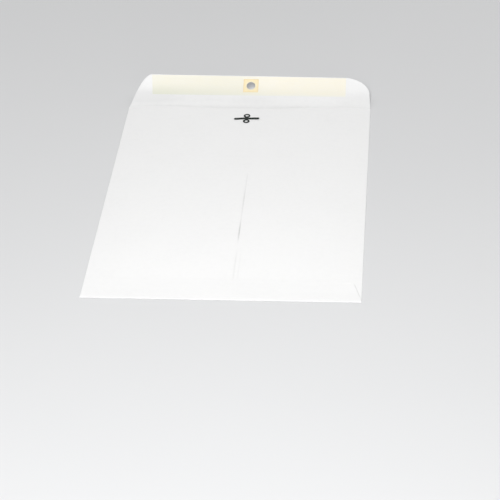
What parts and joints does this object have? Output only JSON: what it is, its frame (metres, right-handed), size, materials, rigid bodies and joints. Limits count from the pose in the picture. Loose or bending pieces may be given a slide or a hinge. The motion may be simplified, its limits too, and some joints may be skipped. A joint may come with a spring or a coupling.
{
  "type": "clasp envelope",
  "caption": "White open-end paper envelope with a centre seam, folded bottom flap, gummed seal flap with a reinforced hole, and a metal clasp whose bendable prongs hold the flap shut.",
  "frame": {"origin": "centre of the front panel's outer face, midway between the bottom fold and the flap fold", "axes": "+X across the envelope, +Y from the bottom fold towards the seal flap, +Z out of the clasp side, away from the surface it lies on"},
  "size_m": [0.254, 0.3688, 0.0165],
  "materials": {
    "paper": "white wove, matte",
    "gum": "dried gum film, slightly shiny, cream",
    "patch_stock": "manila reinforcement, matte",
    "clasp_metal": "thin steel strip, dark and dull"
  },
  "bodies": {
    "pocket": {"front_panel": "paper", "left_back_panel": "paper", "right_back_panel": "paper", "left_side_fold": "paper", "right_side_fold": "paper", "bottom_fold": "paper", "bottom_flap": "paper", "centre_seam_gum": "gum", "bottom_flap_gum": "gum", "clasp_base": "clasp_metal"},
    "flap": {"seal_flap": "paper", "flap_gum_strip": "gum", "hole_patch": "patch_stock"},
    "left_prong": {"left_prong": "clasp_metal"},
    "right_prong": {"right_prong": "clasp_metal"}
  },
  "joints": [
    {"name": "flap_fold", "type": "hinge", "parent": "pocket", "child": "flap", "pos_m": [0, 0.1651, 0.00228], "axis": [1, 0, 0], "range_deg": [-11, 154]},
    {"name": "left_prong_bend", "type": "hinge", "parent": "pocket", "child": "left_prong", "pos_m": [-0.00165, 0.13567, 0.00549], "axis": [0, 1, 0], "range_deg": [0, 90]},
    {"name": "right_prong_bend", "type": "hinge", "parent": "pocket", "child": "right_prong", "pos_m": [0.00165, 0.13567, 0.00549], "axis": [0, -1, 0], "range_deg": [0, 90]}
  ]
}
